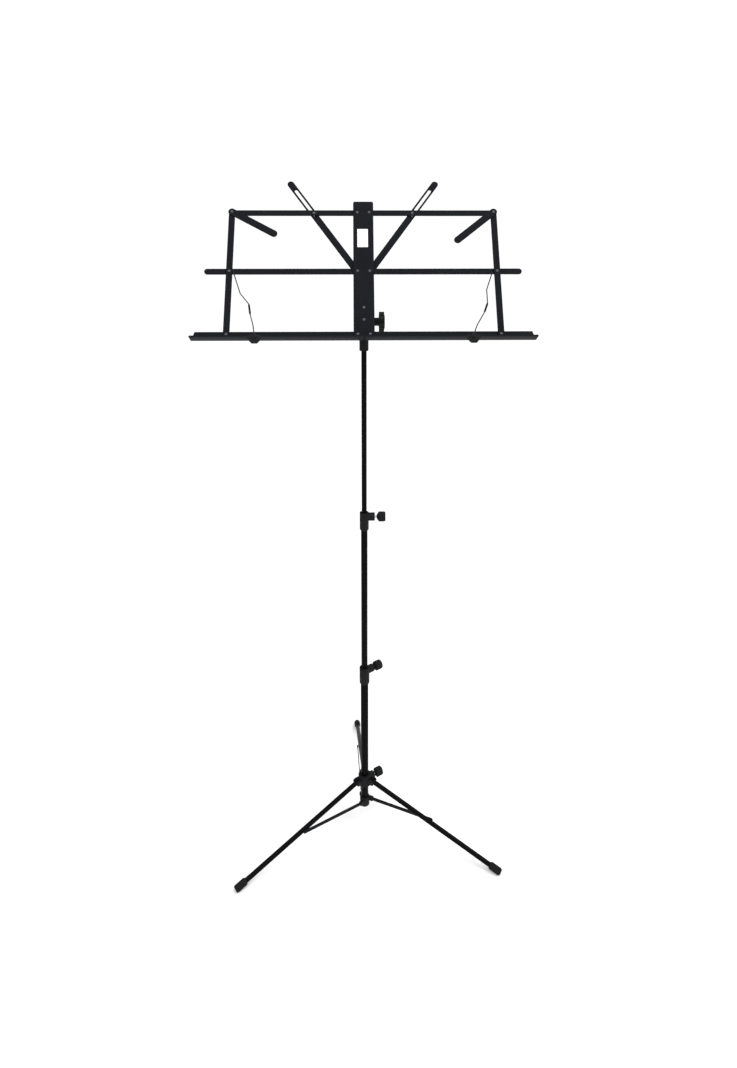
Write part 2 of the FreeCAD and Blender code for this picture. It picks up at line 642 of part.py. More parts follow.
for name in LEG_NAMES:
    # local frame: origin at the hub pivot, x down the leg
    leg_place = leg_frame(name).multiply(
        Placement(Vector(V["hub_pivot_radius"], 0, hub_height), Rotation(Y_AXIS, V["leg_droop"])))
    knuckle = doc.addObject("Part::Sphere", "knuckle")
    bind(knuckle, "Radius", "leg_dia/2")
    leg = take(join(knuckle, rod("leg_dia/2", "leg_length - leg_wall*3", along="x")),
               rod("leg_dia/2 - leg_wall", "leg_length", ("leg_dia", 0, 0), "x"),
               rod("pin_dia/2 + turn_gap", "2*leg_dia", (0, "-leg_dia", 0), "y"))
    finish(leg, f"leg_{name}", leg_place)

    foot_from = "leg_length - foot_length"
    rubber = join(
        cone("leg_dia/2 + leg_wall", "foot_dia/2", "foot_dia/5", (foot_from, 0, 0), "x"),
        rod("foot_dia/2", "foot_length - 2*foot_dia/5", (f"{foot_from} + foot_dia/5", 0, 0), "x"),
        cone("foot_dia/2", "foot_dia/2 - foot_sink", "foot_dia/5",
             ("leg_length - foot_dia/5", 0, 0), "x"),
    )
    floor = block("foot_length*4", "foot_length*4", "foot_length")
    floor.Placement = Placement(Vector(), Rotation(Y_AXIS, -V["leg_droop"])).multiply(
        Placement(Vector(V["leg_length"] - 3 * V["foot_length"], -2 * V["foot_length"],
                         -hub_height - V["foot_length"]), Rotation()))
    tube_hole = rod("leg_dia/2", "foot_length - leg_wall*3", (foot_from, 0, 0), "x")
    finish(take(rubber, tube_hole, floor), f"foot_{name}", leg_place)

    # local frame: origin at the collar pivot, x along the strut, z across to the leg's side
    rise = math.radians(strut_rise)
    along, side = Vector(math.cos(rise), 0, math.sin(rise)), Vector(0, 1, 0)
    strut_place = leg_frame(name).multiply(
        Placement(Vector(V["collar_pivot_radius"], 0, V["collar_pivot_height"]),
                  Rotation(along, side.cross(along), side, "ZXY")))
    flat = strip("strut_length", "strut_width", "strut_side + strut_thick",
                 holes=[(0, "pin_dia/2 + turn_gap")], thick="strut_thick")
    stem = rod("pin_dia/2", "strut_side + strut_thick - leg_dia/2 - ear_gap + head_height",
               ("strut_length", 0, "leg_dia/2 + ear_gap"))
    head = rod("pin_head/2", "head_height", ("strut_length", 0, "strut_side + strut_thick"))
    finish(join(flat, stem, head), f"strut_{name}", strut_place)

# ---------------------------------------------------------------- desk socket and tilt joint
# local frame: origin on the mast axis at the tilt axis
sleeve_top = "socket_sleeve - socket_head"
socket = join(
    cone("socket_dia/2 - tube_wall", "socket_dia/2", "tube_wall", (0, 0, "-socket_head")),
    rod("socket_dia/2", "socket_sleeve - tube_wall", (0, 0, "tube_wall - socket_head")),
    block("tongue_width", "2*tongue_radius", "socket_head - socket_sleeve + tube_wall",
          ("-tongue_width/2", "-tongue_radius", f"{sleeve_top} - tube_wall")),
    rod("tongue_radius", "tongue_width", ("-tongue_width/2", 0, 0), "x"),
)
finish(take(socket,
            rod("upper_tube_dia/2 + socket_gap", "socket_grip + tube_wall",
                (0, 0, "-socket_head")),
            rod("tilt_bolt_dia/2 + turn_gap", "2*tongue_width", ("-tongue_width", 0, 0), "x")),
       "desk_socket", mast_at(tilt_height))

# yoke on the back of the plate, in the desk frame
ears = []
for start in ("-yoke_half", "yoke_half - yoke_sheet"):
    ears.append(block("yoke_sheet", "2*yoke_half", "tilt_back - yoke_back",
                      (start, "-tilt_below - yoke_half", "-tilt_back")))
    ears.append(rod("yoke_half", "yoke_sheet", (start, "-tilt_below", "-tilt_back"), "x"))
yoke = join(
    block("2*yoke_half", "yoke_bottom - yoke_top", "yoke_sheet",
          ("-yoke_half", "-yoke_bottom", "-yoke_back - yoke_sheet")),
    block("2*spacer_half", "yoke_bottom - yoke_top", "yoke_back - plate_thick",
          ("-spacer_half", "-yoke_bottom", "-yoke_back")),
    *ears,
)
yoke_rivets = ("-yoke_top - yoke_half", "-yoke_bottom + yoke_half")
rivet_ways = [rod("rivet_dia/2", "tilt_back", (0, v, "-yoke_back*2")) for v in yoke_rivets]
finish(take(yoke, *rivet_ways,
            rod("tilt_bolt_dia/2", "4*yoke_half", ("-2*yoke_half", "-tilt_below", "-tilt_back"),
                "x")),
       "tilt_yoke", DESK)

# local frame: origin on the tilt axis, x along it
TILT_FRAME = DESK.multiply(Placement(Vector(0, -V["tilt_below"], -V["tilt_back"]), Rotation()))
bolt_end = "tilt_knob_out + tilt_knob_thick/2"
finish(join(rod("tilt_bolt_dia/2", f"yoke_half + {bolt_end}", ("-yoke_half", 0, 0), "x"),
            cone("tilt_bolt_head/3", "tilt_bolt_head/2", "tilt_bolt_head/3",
                 ("-yoke_half - tilt_bolt_head/3", 0, 0), "x")),
       "tilt_bolt", TILT_FRAME)
neck_from = "yoke_half + ear_gap"
knob_pieces = [
    rod("tilt_knob_neck/2", f"tilt_knob_out - ({neck_from})", (neck_from, 0, 0), "x"),
    rod("tilt_knob_dia/2 - lobe_dia/2", "tilt_knob_thick", ("tilt_knob_out", 0, 0), "x"),
]
for number in range(6):
    lobe = join(rod("lobe_dia/2", "tilt_knob_thick - strip_wall",
                    ("tilt_knob_out", 0, "tilt_knob_dia/2 - lobe_dia/2"), "x"))
    lobe.Placement = Placement(Vector(), Rotation(X_AXIS, 60 * number))
    knob_pieces.append(lobe)
finish(take(join(*knob_pieces),
            rod("tilt_bolt_dia/2 + turn_gap", f"{bolt_end} - yoke_half", ("yoke_half", 0, 0), "x")),
       "tilt_knob", TILT_FRAME)


# ---------------------------------------------------------------- centre plate
def plate_blank(inset, level, depth):
    """The plate's outline, drawn in by an inset, from a level down."""
    low = f"{level} - ({depth})"
    top_line = "plate_top - plate_corner"
    bottom_radius = f"plate_width/2 - pivot_half - {inset}"
    pieces = [
        block(f"plate_width - 2*{inset}", "plate_top - plate_corner + lower_pivot", depth,
              (f"{inset} - plate_width/2", "-lower_pivot", low)),
        block("plate_width - 2*plate_corner", f"plate_corner - {inset} + tube_wall", depth,
              ("plate_corner - plate_width/2", f"{top_line} - tube_wall", low)),
        block("2*pivot_half", f"{bottom_radius} + tube_wall", depth,
              ("-pivot_half", f"-lower_pivot - plate_width/2 + pivot_half + {inset}", low)),
    ]
    for x in ("plate_width/2 - plate_corner", "plate_corner - plate_width/2"):
        pieces.append(rod(f"plate_corner - {inset}", depth, (x, top_line, low)))
    for x in ("pivot_half", "-pivot_half"):
        pieces.append(rod(bottom_radius, depth, (x, "-lower_pivot", low)))
    return join(*pieces)


PIVOTS_V = {"upper": "upper_pivot", "middle": 0, "lower": "-lower_pivot"}
plate_holes = [rod("rivet_dia/2", "4*plate_thick", (u, v, "-2*plate_thick"))
               for u in ("-pivot_half", "pivot_half") for v in PIVOTS_V.values()]
plate_holes += [rod("rivet_dia/2", "4*plate_thick", (0, v, "-2*plate_thick"))
                for v in yoke_rivets]
finish(take(plate_blank("0", "0", "plate_thick + plate_rim"),
            plate_blank("strip_wall", "-plate_thick", "2*plate_rim"), *plate_holes),
       "centre_plate", DESK)

TAILS = {
    "upper": ("bar_back - rivet_play", []),
    "middle": ("diagonal_back - rivet_play",
               [("bar_back - rivet_play", "diagonal_front + rivet_play")]),
    "lower": ("flange_back - rivet_play", []),
}
plate_rivets = []
for u in ("-pivot_half", "pivot_half"):
    for level, v in PIVOTS_V.items():
        tail, collars = TAILS[level]
        washer = [("-plate_thick", "bar_front + rivet_play")]
        plate_rivets.append(rivet(u, v, "0", tail, washer + collars))
for v in yoke_rivets:
    plate_rivets.append(rivet(0, v, "0", "-yoke_back - yoke_sheet"))
finish(group(*plate_rivets), "plate_rivets", DESK)
finish(join(block("label_width", "label_height", "label_thick",
                  ("-label_offset - label_width/2", "label_middle - label_height/2", 0))),
       "label", DESK)


# ---------------------------------------------------------------- folding desk
def slotted_arm_angle():
    """Rise of a slotted arm from its pivot to its rivet with the desk open, in degrees."""
    return math.degrees(math.atan2(V["upper_pivot"], V["slot_rivet_place"])) - V["slot_lag"]


def slot_rivet_distance(fold):
    """Middle pivot to the rivet in the slot, with the desk folded through an angle."""
    turn = math.radians(fold)
    return math.hypot(V["slot_rivet_place"] * math.cos(turn),
                      V["upper_pivot"] + V["slot_rivet_place"] * math.sin(turn))


work_out("slot_start", slot_rivet_distance(0) - V["slot_spare"],
         "plate pivot to the slot's first centre")
work_out("slot_end", slot_rivet_distance(V["fold_angle"]) + V["slot_spare"],
         "plate pivot to the slot's last centre")


def mirrored(thing):
    """The same piece for the other side, mirrored across x."""
    other = doc.addObject("Part::Mirroring", "mirrored")
    other.Source = thing
    other.Normal = X_AXIS
    return other


CLEAR = "rivet_dia/2 + turn_gap"
TIGHT = "rivet_dia/2"
SWING_DROPS = {"left": V["swing_drop_left"], "right": V["swing_drop_right"]}


def bars(side, sign):
    """The four strips and the corner arm of one half of the desk, with their rivets."""
    outward = 0 if sign > 0 else 180
    pivot = sign * V["pivot_half"]
    corner = sign * (V["pivot_half"] + V["bar_reach"])
    upper = strip_frame(pivot, V["upper_pivot"], outward)
    middle = strip_frame(pivot, 0, outward)

    finish(strip("bar_reach", "bar_width", "bar_front",
                 holes=[(0, CLEAR), ("bar_reach", TIGHT), ("slot_rivet_place", "slot_rivet_dia/2")]),
           f"{side}_upper_bar", upper)
    corner_rivet = rivet("bar_reach", 0, "swing_front + rivet_play", "bar_back",
                         [("upright_back - rivet_play", "bar_front")])
    slot_rivet = rivet("slot_rivet_place", 0, "bar_front", "diagonal_back - rivet_play",
                       [("bar_back", "diagonal_front + rivet_play")],
                       "slot_rivet_dia/2", "slot_head/2")
    finish(group(corner_rivet, slot_rivet), f"{side}_upper_bar_rivets", upper)

    finish(strip("bar_reach + middle_bar_over", "bar_width", "bar_front",
                 holes=[(0, CLEAR), ("bar_reach", TIGHT)]), f"{side}_middle_bar", middle)
    finish(rivet("bar_reach", 0, "upright_front + rivet_play", "bar_back",
                 [("upright_back - rivet_play", "bar_front")]),
           f"{side}_middle_bar_rivet", middle)

    finish(strip("upper_pivot + lower_pivot", "upright_width", "upright_front",
                 holes=[(0, CLEAR), ("upper_pivot", CLEAR), ("upper_pivot + lower_pivot", CLEAR)]),
           f"{side}_upright", strip_frame(corner, V["upper_pivot"], -90))

    rise = slotted_arm_angle()
    finish(strip("diagonal_length", "diagonal_width", "diagonal_front", holes=[(0, CLEAR)],
                 slot=("slot_start", "slot_end", "slot_width/2"), thick="flat_thick"),
           f"{side}_slotted_arm", strip_frame(pivot, 0, rise if sign > 0 else 180 - rise))

    drop = SWING_DROPS[side]
    finish(strip("swing_length", "swing_width", "swing_front", holes=[(0, CLEAR)],
                 thick="flat_thick"),
           f"{side}_corner_arm",
           strip_frame(corner, V["upper_pivot"], 180 + drop if sign > 0 else -drop))


def ledge_half():
    """One half of the ledge, its pivot at the origin: back flange, shelf and front hem."""
    length = "ledge_reach + ledge_inner"
    underside = "-shelf_drop - ledge_sheet"
    whole = join(
        block(length, "ledge_up + shelf_drop + ledge_sheet", "ledge_sheet",
              ("-ledge_inner", underside, "flange_back")),
        block(length, "ledge_sheet", "shelf_front - (flange_back)",
              ("-ledge_inner", underside, "flange_back")),
        block(length, "ledge_sheet + ledge_hem", "ledge_sheet",
              ("-ledge_inner", underside, "shelf_front - ledge_sheet")),
    )
    rake = block("ledge_reach/10", "ledge_reach/10", "ledge_reach/5",
                 ("ledge_reach", underside, "flange_back*2"), (Z_AXIS, V["ledge_rake"]))
    return take(whole, rake,
                rod(CLEAR, "ledge_reach/10", (0, 0, "flange_back*2")),
                rod(TIGHT, "ledge_reach/10", ("bar_reach", 0, "flange_back*2")))


def holder_clip():
    """A page holder's clip on the front edge of the shelf, with the pin that its wire turns on."""
    halves = []
    for up, reach in ((1, "holder_up"), (-1, "holder_down")):
        wing = doc.addObject("Part::Wedge", "wing")
        inner, outer = ("min", "max") if up > 0 else ("max", "min")
        wide, narrow = "holder_half", "holder_point"
        sizes = {"Xmin": f"-{wide if up > 0 else narrow}", "Xmax": wide if up > 0 else narrow,
                 "X2min": f"-{narrow if up > 0 else wide}", "X2max": narrow if up > 0 else wide,
                 "Ymin": "0" if up > 0 else f"-{reach}", "Ymax": reach if up > 0 else "0",
                 "Zmin": "0", "Zmax": "holder_thick", "Z2min": "0", "Z2max": "holder_thick"}
        for prop in ("Xmin", "Xmax", "X2min", "X2max", "Ymin", "Ymax", "Zmin", "Zmax", "Z2min",
                     "Z2max"):
            bind(wing, prop, sizes[prop])
        bind(wing, "Placement.Base.z", "shelf_front")
        halves.append(wing)
    tip = "wire_level + holder_wire/2 + rivet_play"
    return join(*halves, rod(TIGHT, tip, (0, 0, "shelf_front")),
                rod("rivet_head/2", "head_height", (0, 0, f"shelf_front + {tip}")))


WIRE_POINTS = {
    # from the pivot: sideways, up the desk, and level in front of the plate
    "left": [(-2.5, 20, 22.4), (-10, 45, 12), (-13.5, 66, 9.5), (-30.3, 88, 6.6),
             (-41, 120, 4.0), (-45.5, 134, 3.1)],
    "right": [(7, 20, 22.4), (23, 48.4, 12), (30, 67, 9.5), (30.6, 95.4, 6.3),
              (43, 130, 3.3)],
}
SLEEVE_START = 1
SLEEVE_MARGIN = 0.06


def wire_run(start, end, radius):
    """One straight run of wire between two points, sunk a little into its neighbours' bends."""
    run = doc.addObject("Part::Cylinder", "run")
    bind(run, "Radius", radius)
    reach = Vector(*end) - Vector(*start)
    run.Height = reach.Length
    run.Placement = Placement(Vector(*start), Rotation(Z_AXIS, reach))
    return run


def holder(side, sign):
    """Clip, wire and sleeve of one page holder."""
    outward = 0 if sign > 0 else 180
    at = (sign * (V["pivot_half"] + V["holder_place"]), -V["lower_pivot"] - V["holder_drop"])
    frame = strip_frame(*at, 0)
    finish(holder_clip(), f"{side}_holder_clip", frame)

    level = V["shelf_front"] + V["wire_level"]
    points = [(0, V["holder_eye"], level)] + WIRE_POINTS[side]
    eye = doc.addObject("Part::Torus", "eye")
    bind(eye, "Radius1", "holder_eye")
    bind(eye, "Radius2", "holder_wire/2")
    bind(eye, "Placement.Base.z", "shelf_front + wire_level")
    pieces = [eye]
    for start, end in zip(points, points[1:]):
        pieces.append(wire_run(start, end, "holder_wire/2"))
        bend = doc.addObject("Part::Sphere", "bend")
        bind(bend, "Radius", "holder_wire/2 + bend_swell")
        bend.Placement = Placement(Vector(*end), Rotation(Z_AXIS, Vector(*end) - Vector(*start)))
        pieces.append(bend)
    finish(join(*pieces), f"{side}_holder_wire", frame)

    # the sleeve stops short of the bends at both ends of its run
    first, second = (Vector(*point)
                     for point in WIRE_POINTS[side][SLEEVE_START:SLEEVE_START + 2])
    margin = (second - first) * SLEEVE_MARGIN
    first, second = first + margin, second - margin
    finish(take(wire_run(first, second, "sleeve_dia/2"),
                wire_run(first, second, "holder_wire/2")),
           f"{side}_holder_sleeve", frame)


for side, sign in (("left", -1), ("right", 1)):
    bars(side, sign)
    half = ledge_half()
    ledge_frame = strip_frame(sign * V["pivot_half"], -V["lower_pivot"], 0)
    finish(half if sign > 0 else mirrored(half), f"{side}_ledge", ledge_frame)
    finish(rivet("bar_reach" if sign > 0 else "-bar_reach", 0, "upright_front + rivet_play",
                 "flange_back", [("upright_back - rivet_play", "bar_front")]),
           f"{side}_ledge_rivet", ledge_frame)
    holder(side, sign)

# ---------------------------------------------------------------- check and export
doc.recompute()
for thing in doc.Objects:
    if "Invalid" in thing.State or "Error" in thing.State:
        raise RuntimeError(f"{thing.Label} ({thing.Name}) failed: {thing.State}")

os.makedirs("parts", exist_ok=True)
for thing in finished:
    shape = thing.Shape
    if shape.isNull() or not shape.isValid():
        raise RuntimeError(f"{thing.Label} has no valid shape")
    shape.exportStep(f"parts/{thing.Label}.step")
    print(f"{thing.Label:26s} {len(shape.Solids)} solid(s) {shape.Volume:10.1f} mm3")
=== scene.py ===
import bpy
import bmesh
import json
import math
from mathutils import Matrix, Vector

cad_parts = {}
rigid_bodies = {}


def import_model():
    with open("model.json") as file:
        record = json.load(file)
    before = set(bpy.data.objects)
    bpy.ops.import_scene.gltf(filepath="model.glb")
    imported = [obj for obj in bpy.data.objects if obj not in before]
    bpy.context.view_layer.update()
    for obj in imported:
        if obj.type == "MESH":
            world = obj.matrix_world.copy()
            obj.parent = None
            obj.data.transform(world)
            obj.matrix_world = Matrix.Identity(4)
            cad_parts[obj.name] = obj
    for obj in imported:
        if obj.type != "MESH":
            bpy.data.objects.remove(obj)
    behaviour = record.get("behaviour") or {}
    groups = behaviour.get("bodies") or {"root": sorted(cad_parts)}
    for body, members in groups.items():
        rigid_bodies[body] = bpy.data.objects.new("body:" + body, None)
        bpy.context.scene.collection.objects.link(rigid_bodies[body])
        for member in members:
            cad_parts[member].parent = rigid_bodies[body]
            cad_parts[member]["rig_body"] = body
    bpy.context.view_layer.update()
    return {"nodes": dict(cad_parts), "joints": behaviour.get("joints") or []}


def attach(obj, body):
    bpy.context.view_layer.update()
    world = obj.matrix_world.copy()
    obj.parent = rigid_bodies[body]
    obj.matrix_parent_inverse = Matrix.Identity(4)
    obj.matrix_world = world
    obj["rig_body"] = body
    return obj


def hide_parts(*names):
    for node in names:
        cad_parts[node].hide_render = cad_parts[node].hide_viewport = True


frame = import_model()

# ------------------------------------------------------------------ mast tubes
# Three seam-welded steel tubes that slide in one another, stove-enamelled gloss black. A pale
# nylon bush is pressed on the foot of each of the two sliding tubes.
tube_edge = 0.0002
weld_gap = 2e-6
flat_angle = math.radians(0.4)
corner_angle = math.radians(34)
smooth_angle = math.radians(50)


def enamel(name, colour, cloud, gloss, grain, relief, metal=0.0, shine=0.5):
    """A finish with clouded colour, uneven gloss and a fine surface grain, in metres.

    colour and cloud are its two tones, gloss its smoothest and roughest parts, grain and
    relief the size and the height of the surface grain.
    """
    material = bpy.data.materials.new(name)
    material.use_nodes = True
    nodes, links = material.node_tree.nodes, material.node_tree.links
    surface = nodes["Principled BSDF"]
    surface.inputs["Metallic"].default_value = metal
    surface.inputs["Specular IOR Level"].default_value = shine
    place = nodes.new("ShaderNodeTexCoord")

    clouds = nodes.new("ShaderNodeTexNoise")
    clouds.inputs["Scale"].default_value = 22.0
    clouds.inputs["Detail"].default_value = 5.0
    tint = nodes.new("ShaderNodeMix")
    tint.data_type = "RGBA"
    tint.inputs["A"].default_value = (*colour, 1.0)
    tint.inputs["B"].default_value = (*cloud, 1.0)
    links.new(place.outputs["Object"], clouds.inputs["Vector"])
    links.new(clouds.outputs["Fac"], tint.inputs["Factor"])
    links.new(tint.outputs["Result"], surface.inputs["Base Color"])

    speckle = nodes.new("ShaderNodeTexNoise")
    speckle.inputs["Scale"].default_value = 1.0 / grain
    speckle.inputs["Detail"].default_value = 3.0
    uneven = nodes.new("ShaderNodeMapRange")
    uneven.inputs["From Min"].default_value = 0.3
    uneven.inputs["From Max"].default_value = 0.7
    uneven.inputs["To Min"].default_value = gloss[0]
    uneven.inputs["To Max"].default_value = gloss[1]
    links.new(place.outputs["Object"], speckle.inputs["Vector"])
    links.new(speckle.outputs["Fac"], uneven.inputs["Value"])
    links.new(uneven.outputs["Result"], surface.inputs["Roughness"])

    bumps = nodes.new("ShaderNodeBump")
    bumps.inputs["Strength"].default_value = 0.6
    bumps.inputs["Distance"].default_value = relief
    links.new(speckle.outputs["Fac"], bumps.inputs["Height"])
    links.new(bumps.outputs["Normal"], surface.inputs["Normal"])
    return material


def eased(node, finish, edge=0.0):
    """The finished piece for a CAD node: its sharp edges rounded, its curves shaded smooth."""
    source = frame["nodes"][node]
    shape = bmesh.new()
    shape.from_mesh(source.data)
    bmesh.ops.remove_doubles(shape, verts=shape.verts, dist=weld_gap)
    bmesh.ops.dissolve_limit(shape, angle_limit=flat_angle, verts=shape.verts,
                             edges=shape.edges, use_dissolve_boundaries=False)
    sharp = [rim for rim in shape.edges
             if len(rim.link_faces) == 2 and rim.calc_face_angle(0) > corner_angle]
    if edge > 0:
        bmesh.ops.bevel(shape, geom=sharp, offset=edge, segments=2, profile=0.6,
                        affect="EDGES", clamp_overlap=True)
    mesh = bpy.data.meshes.new(f"{node}_finished")
    shape.to_mesh(mesh)
    shape.free()
    mesh.materials.clear()
    mesh.materials.append(finish)
    mesh.shade_smooth()
    mesh.set_sharp_from_angle(angle=smooth_angle)
    piece = bpy.data.objects.new(f"{node}_finished", mesh)
    bpy.context.scene.collection.objects.link(piece)
    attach(piece, source["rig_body"])
    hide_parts(node)


gloss_black = enamel("gloss black tube enamel", colour=(0.002, 0.002, 0.0023),
                     cloud=(0.0035, 0.0035, 0.004), gloss=(0.3, 0.42), grain=0.004,
                     relief=0.00002, shine=0.03)
pale_nylon = enamel("pale nylon", colour=(0.42, 0.41, 0.37), cloud=(0.5, 0.49, 0.45),
                    gloss=(0.45, 0.6), grain=0.0006, relief=0.00003)
for tube in ("lower_tube", "middle_tube", "upper_tube"):
    eased(tube, gloss_black, tube_edge)
for bush in ("middle_tube_bush", "upper_tube_bush"):
    eased(bush, pale_nylon, tube_edge)

# ------------------------------------------------------------------ height clamps
# Injection-moulded black nylon bodies pushed on the tops of the lower and middle tubes, each
# with a brass insert and a ribbed thumbscrew whose plated stud bears on the tube inside.
clamp_edge = 0.0005
knob_edge = 0.0003
stud_edge = 0.0002
clamp_knob_end = 0.0418
button_steps = 40
button_angle = math.radians(40)
joints = {joint["name"]: joint for joint in frame["joints"]}

moulded_black = enamel("black moulded nylon", colour=(0.005, 0.0052, 0.0058),
                       cloud=(0.009, 0.0095, 0.0105), gloss=(0.5, 0.68), grain=0.0005,
                       relief=0.00004, shine=0.09)
turned_brass = enamel("turned brass", colour=(0.55, 0.4, 0.14), cloud=(0.62, 0.48, 0.2),
                      gloss=(0.25, 0.4), grain=0.0004, relief=0.00001, metal=1.0)
plated_steel = enamel("zinc-plated steel", colour=(0.42, 0.43, 0.45), cloud=(0.52, 0.53, 0.55),
                      gloss=(0.25, 0.42), grain=0.0004, relief=0.00001, metal=1.0)


def knob_button(name, body, end, axis):
    """The moulded button in a knob's end: a shallow dish with a raised middle."""
    outline = [(-0.0006, 0.0068), (0.0, 0.0068), (0.0, 0.0060), (-0.0004, 0.0054),
               (-0.0004, 0.0030), (0.0, 0.0022)]
    turns = [2 * math.pi * step / button_steps for step in range(button_steps)]
    shape = bmesh.new()
    rings = [[shape.verts.new((radius * math.cos(turn), radius * math.sin(turn), reach))
              for turn in turns] for reach, radius in outline]
    middle = shape.verts.new((0, 0, 0))
    for low, high in zip(rings, rings[1:]):
        for here in range(button_steps):
            there = (here + 1) % button_steps
            shape.faces.new((low[here], low[there], high[there], high[here]))
    for here in range(button_steps):
        shape.faces.new((rings[-1][here], rings[-1][(here + 1) % button_steps], middle))
    shape.faces.new(rings[0])
    bmesh.ops.recalc_face_normals(shape, faces=shape.faces)
    facing = axis.to_track_quat("Z", "Y").to_matrix().to_4x4()
    shape.transform(Matrix.Translation(end) @ facing)
    mesh = bpy.data.meshes.new(name)
    shape.to_mesh(mesh)
    shape.free()
    mesh.materials.append(moulded_black)
    mesh.shade_smooth()
    mesh.set_sharp_from_angle(angle=button_angle)
    piece = bpy.data.objects.new(name, mesh)
    bpy.context.scene.collection.objects.link(piece)
    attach(piece, body)


def thumbscrew(prefix, joint, knob_end):
    """Finishes one thumbscrew; its knob ends at knob_end from the mast's middle."""
    eased(f"{prefix}_nut", turned_brass)
    eased(f"{prefix}_stud", plated_steel, stud_edge)
    eased(f"{prefix}_knob", moulded_black, knob_edge)
    axis = Vector(joints[joint]["axis"])
    end = Vector(joints[joint]["pos_m"]) + axis * knob_end
    knob_button(f"{prefix}_knob_button", joints[joint]["child"], end, axis)


for clamp in ("lower_clamp", "upper_clamp"):
    eased(f"{clamp}_body", moulded_black, clamp_edge)
    thumbscrew(clamp, f"{clamp}_screw", clamp_knob_end)

# ------------------------------------------------------------------ hub and bottom collar
# The hub slides on the lower tube and carries the legs on steel pins; the collar closes the
# tube's end and carries the struts. Both are moulded in the same black nylon as the clamps.
hub_edge = 0.0005
collar_edge = 0.0004
pin_edge = 0.0002
hub_knob_end = 0.0435
eased("hub", moulded_black, hub_edge)
eased("bottom_collar", moulded_black, collar_edge)
thumbscrew("hub", "hub_screw_turn", hub_knob_end)
blackened_steel = enamel("blackened steel", colour=(0.02, 0.02, 0.021),
                         cloud=(0.035, 0.035, 0.036), gloss=(0.3, 0.45), grain=0.0005,
                         relief=0.00001, metal=1.0)
eased("leg_pins", blackened_steel, pin_edge)
eased("collar_pins", blackened_steel, pin_edge)

# ------------------------------------------------------------------ legs, feet and struts
# Enamelled steel tubes with a moulded rubber foot pushed on each, and a flat pressed strut
# riveted beside each leg to hold it out from the collar.
foot_edge = 0.0006
strut_edge = 0.0003
foot_rubber = enamel("black rubber", colour=(0.006, 0.006, 0.006), cloud=(0.011, 0.011, 0.011),
                     gloss=(0.7, 0.88), grain=0.0004, relief=0.00006, shine=0.08)
satin_black = enamel("satin black sheet enamel", colour=(0.0035, 0.004, 0.0055),
                     cloud=(0.006, 0.007, 0.009), gloss=(0.4, 0.55), grain=0.0012,
                     relief=0.00003, shine=0.05)
for leg in ("front_left", "front_right", "rear"):
    eased(f"leg_{leg}", gloss_black, tube_edge)
    eased(f"foot_{leg}", foot_rubber, foot_edge)
    eased(f"strut_{leg}", satin_black, strut_edge)

# ------------------------------------------------------------------ desk socket and tilt joint
# A moulded sleeve that sits on the upper tube and turns on it. Its tongue stands between the
# ears of a folded steel yoke; a bolt through them is pulled tight by the big lobed knob.
socket_edge = 0.0005
yoke_edge = 0.0003
bolt_edge = 0.0003
tilt_knob_edge = 0.0008
eased("desk_socket", moulded_black, socket_edge)
eased("tilt_yoke", satin_black, yoke_edge)
eased("tilt_bolt", plated_steel, bolt_edge)
eased("tilt_knob", moulded_black, tilt_knob_edge)

# ------------------------------------------------------------------ centre plate
# Pressed sheet steel with a turned-back rim, riveted to the yoke. A plain paper label with no
# lettering is stuck on its upper half.
plate_edge = 0.0004
rivet_edge = 0.0003
label_edge = 0.00005
eased("centre_plate", satin_black, plate_edge)
grey_rivet = enamel("worn rivet head", colour=(0.035, 0.036, 0.04), cloud=(0.07, 0.072, 0.078),
                    gloss=(0.35, 0.5), grain=0.0006, relief=0.00002, metal=0.6)
eased("plate_rivets", grey_rivet, rivet_edge)
label_paper = enamel("plain coated paper", colour=(0.78, 0.78, 0.76), cloud=(0.84, 0.84, 0.82),
                     gloss=(0.45, 0.55), grain=0.0008, relief=0.00001)
eased("label", label_paper, label_edge)

# ------------------------------------------------------------------ folding desk
# Pressed steel strips: two bars, an upright, a slotted arm and a corner arm each side. They
# turn on riveted shoulders, so that each half folds up against the centre line.
channel_edge = 0.0005
flat_arm_edge = 0.0003
for side in ("left", "right"):
    for channel in ("upper_bar", "middle_bar", "upright"):
        eased(f"{side}_{channel}", satin_black, channel_edge)
    for arm in ("slotted_arm", "corner_arm"):
        eased(f"{side}_{arm}", satin_black, flat_arm_edge)
    for rivets in ("upper_bar_rivets", "middle_bar_rivet"):
        eased(f"{side}_{rivets}", grey_rivet, rivet_edge)

# ------------------------------------------------------------------ ledge and page holders
# Each half of the ledge is one folded steel angle with a hemmed front edge. A moulded clip
# grips that edge and carries the pin that a bent spring wire turns on.
ledge_edge = 0.0003
clip_edge = 0.0005
sleeve_edge = 0.0002
spring_wire = enamel("blackened wire", colour=(0.006, 0.006, 0.007), cloud=(0.02, 0.02, 0.022),
                     gloss=(0.35, 0.5), grain=0.002, relief=0.00001, shine=0.2)
for side in ("left", "right"):
    eased(f"{side}_ledge", satin_black, ledge_edge)
    eased(f"{side}_ledge_rivet", grey_rivet, rivet_edge)
    eased(f"{side}_holder_clip", moulded_black, clip_edge)
    eased(f"{side}_holder_wire", spring_wire)
    eased(f"{side}_holder_sleeve", moulded_black, sleeve_edge)

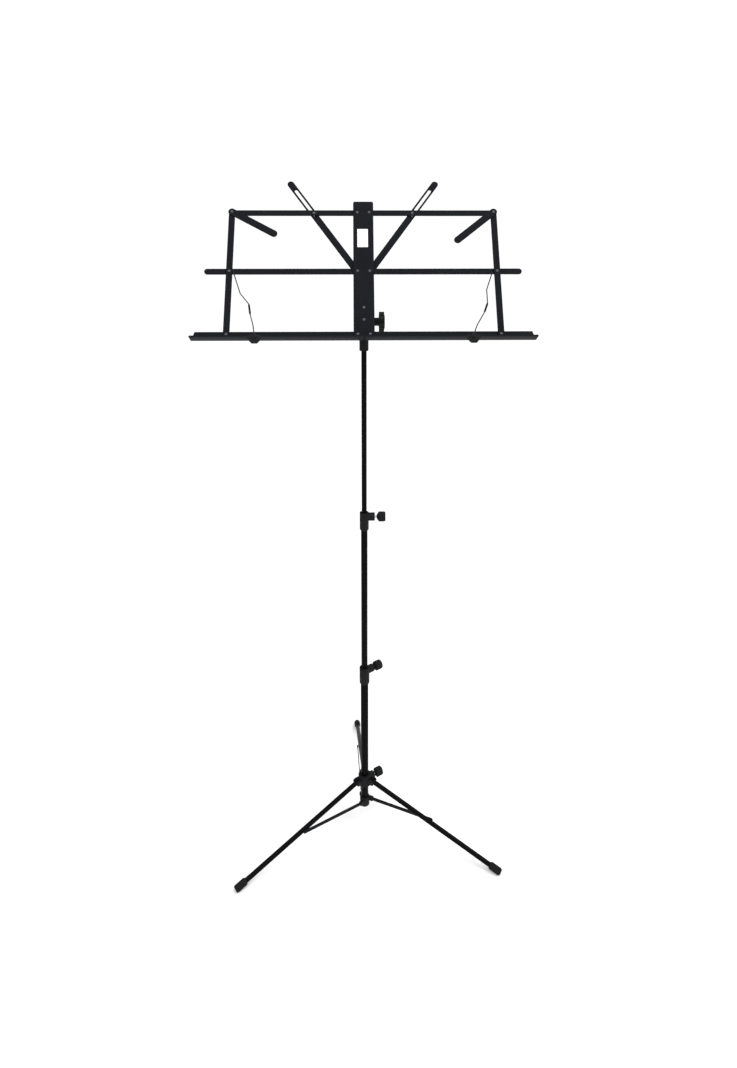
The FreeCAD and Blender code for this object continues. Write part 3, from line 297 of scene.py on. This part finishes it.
# ------------------------------------------------------------------ room, light and camera
# A plain white floor under an even white sky, a very wide ceiling light and two soft lamps.
# The camera stands at eye height in front of the desk and looks a little down.
floor_reach = 60.0
floor_gap = 0.0005
floor_white = enamel("white studio floor", colour=(0.93, 0.93, 0.93), cloud=(0.95, 0.95, 0.95),
                     gloss=(0.9, 0.95), grain=0.2, relief=0.0)
floor_mesh = bpy.data.meshes.new("floor")
corners = [(-floor_reach, -floor_reach, 0), (floor_reach, -floor_reach, 0),
           (floor_reach, floor_reach, 0), (-floor_reach, floor_reach, 0)]
floor_mesh.from_pydata(corners, [], [(0, 1, 2, 3)])
floor_mesh.materials.append(floor_white)
floor = bpy.data.objects.new("floor", floor_mesh)
floor.location.z = -floor_gap
bpy.context.scene.collection.objects.link(floor)

white = (1.0, 1.0, 1.0, 1.0)
world = bpy.data.worlds.new("white room")
world.use_nodes = True
sky_nodes, sky_links = world.node_tree.nodes, world.node_tree.links
dim_sky = sky_nodes["Background"]
dim_sky.inputs["Color"].default_value = white
dim_sky.inputs["Strength"].default_value = 0.5
white_wall = sky_nodes.new("ShaderNodeBackground")
white_wall.inputs["Color"].default_value = white
white_wall.inputs["Strength"].default_value = 1.05
seen_direct = sky_nodes.new("ShaderNodeLightPath")
sky_mix = sky_nodes.new("ShaderNodeMixShader")
sky_links.new(seen_direct.outputs["Is Camera Ray"], sky_mix.inputs["Fac"])
sky_links.new(dim_sky.outputs["Background"], sky_mix.inputs[1])
sky_links.new(white_wall.outputs["Background"], sky_mix.inputs[2])
sky_links.new(sky_mix.outputs["Shader"], sky_nodes["World Output"].inputs["Surface"])
bpy.context.scene.world = world
bpy.context.scene.view_settings.view_transform = "Standard"

sun_light = bpy.data.lights.new("ceiling light", "SUN")
sun_light.energy = 2.2
sun_light.angle = math.radians(70)
sun = bpy.data.objects.new("ceiling light", sun_light)
sun.rotation_euler = (math.radians(18), math.radians(14), 0)
bpy.context.scene.collection.objects.link(sun)


def soft_lamp(name, spot, aim, size, power):
    """A square soft lamp turned to face a point."""
    light = bpy.data.lights.new(name, "AREA")
    light.size = size
    light.energy = power
    lamp = bpy.data.objects.new(name, light)
    lamp.location = spot
    lamp.rotation_mode = "QUATERNION"
    lamp.rotation_quaternion = (Vector(aim) - Vector(spot)).to_track_quat("-Z", "Y")
    bpy.context.scene.collection.objects.link(lamp)


soft_lamp("front lamp", spot=(-1.2, -2.2, 2.6), aim=(0, 0, 0.8), size=1.6, power=30.0)
soft_lamp("right lamp", spot=(2.0, -1.2, 2.2), aim=(0, 0, 0.9), size=1.2, power=18.0)

camera_data = bpy.data.cameras.new("camera")
camera_data.sensor_width = 36.0
camera_data.lens = 23.0478
camera_data.shift_y = -0.116105
camera_data.clip_end = 200.0
camera_dip = math.radians(14.48)
camera_turn = math.radians(-1.096)
camera = bpy.data.objects.new("camera", camera_data)
camera.location = (-0.0156, -1.3274, 1.2753)
camera.rotation_euler = (math.radians(90) - camera_dip, 0.0, camera_turn)
bpy.context.scene.collection.objects.link(camera)
bpy.context.scene.camera = camera
